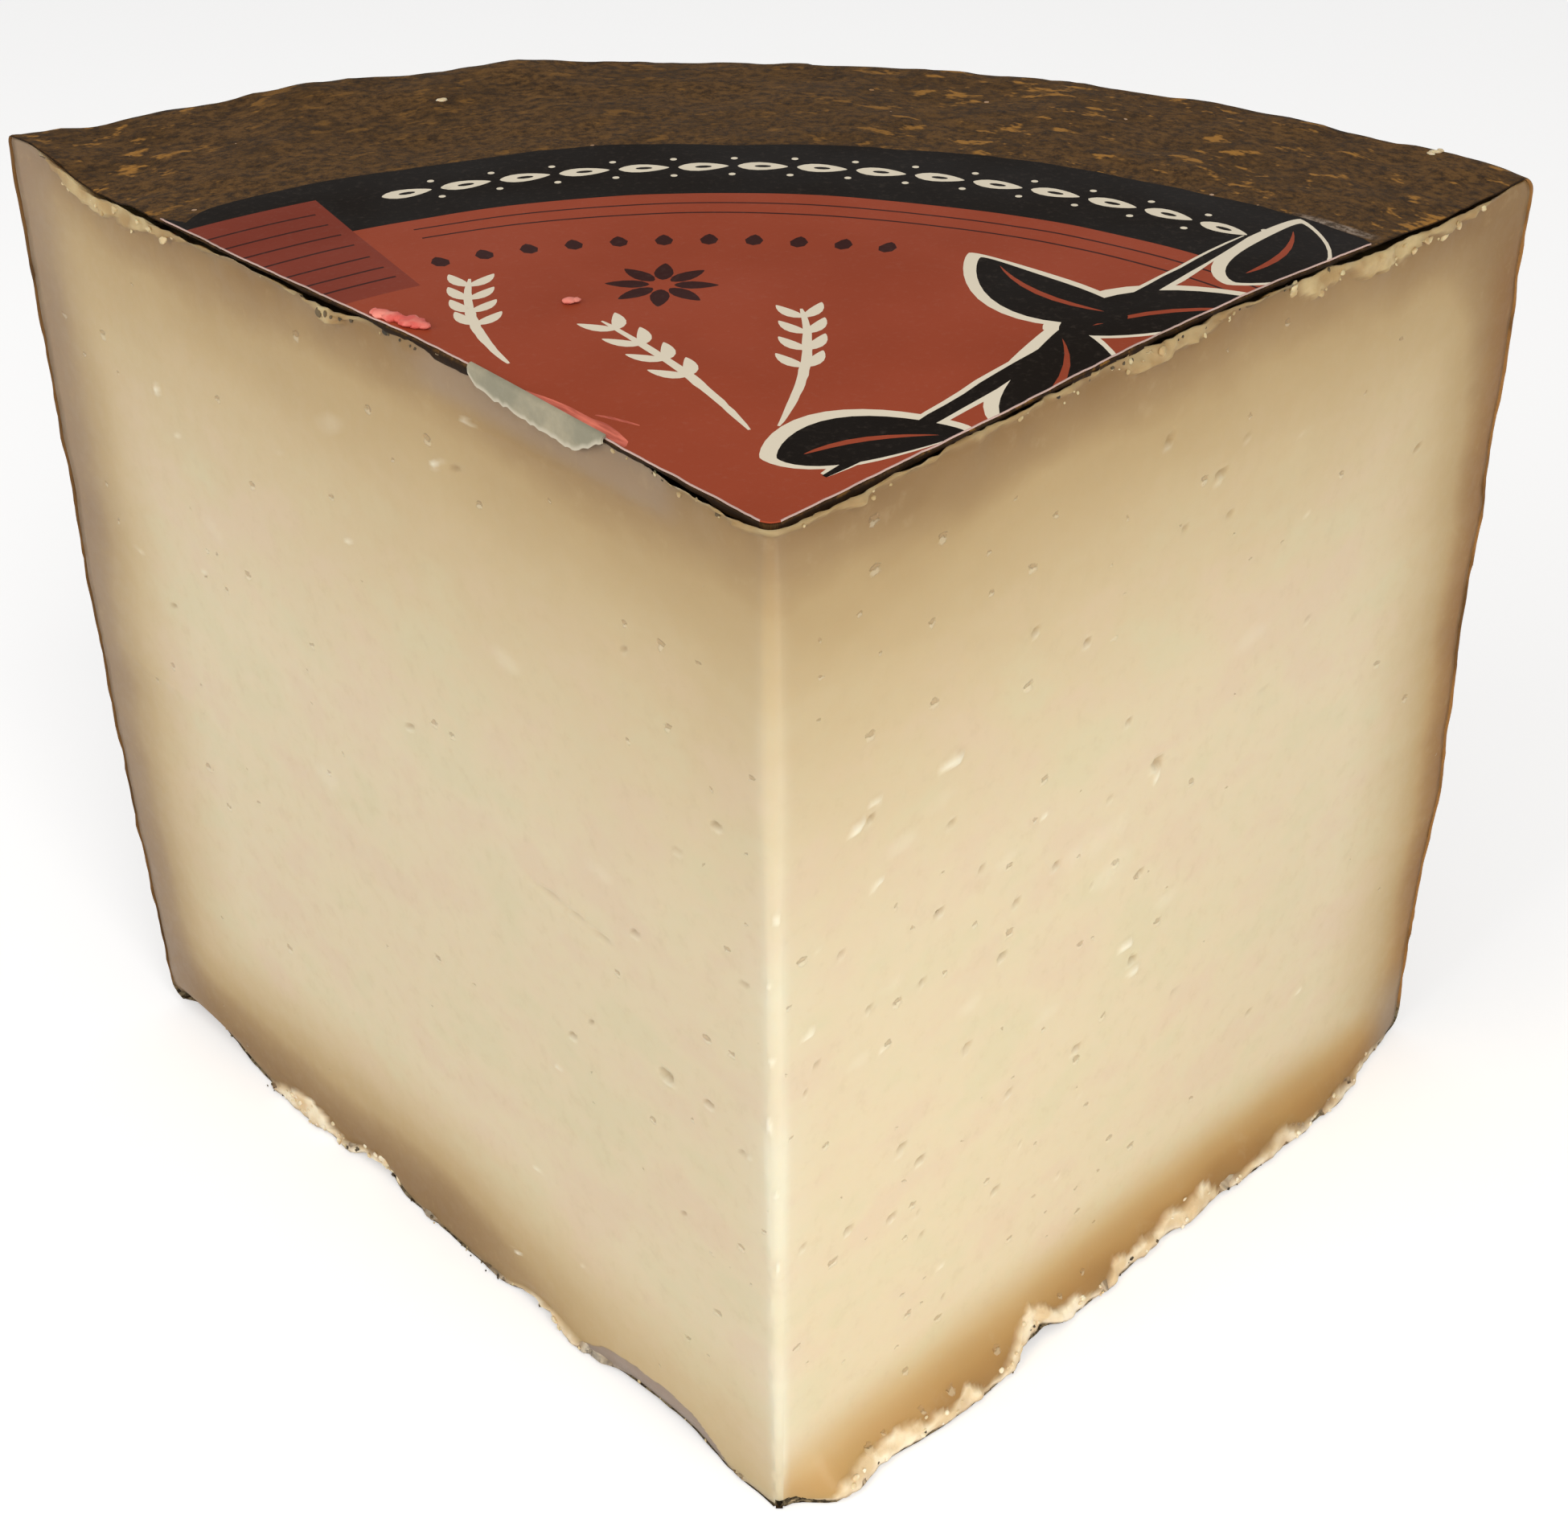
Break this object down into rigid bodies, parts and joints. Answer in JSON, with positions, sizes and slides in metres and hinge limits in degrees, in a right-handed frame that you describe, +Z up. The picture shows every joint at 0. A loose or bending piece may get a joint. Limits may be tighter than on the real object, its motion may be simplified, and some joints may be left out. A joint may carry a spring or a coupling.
{
  "type": "quarter wheel of aged sheep milk cheese",
  "caption": "Quarter wheel of hard sheep milk cheese: two upright cut faces with small eyes, a dark brown rind, and a paper label glued on top, torn at one cut edge.",
  "frame": {"origin": "on the base plane, on the line that halves the wedge, 57.6 mm behind its point", "axes": "+Z up from the bottom rind to the labelled top, -Y towards the point of the wedge, +X to the right of someone who faces the point"},
  "size_m": [0.138, 0.0975, 0.1007],
  "materials": {
    "cheese": "ivory hard cheese paste with a satin sheen, yellow-brown towards the dark brown rind",
    "label": "coated paper printed brick red with a black rim band, low gloss"
  },
  "bodies": {
    "root": {"cheese": "cheese", "label": "label"}
  },
  "joints": []
}
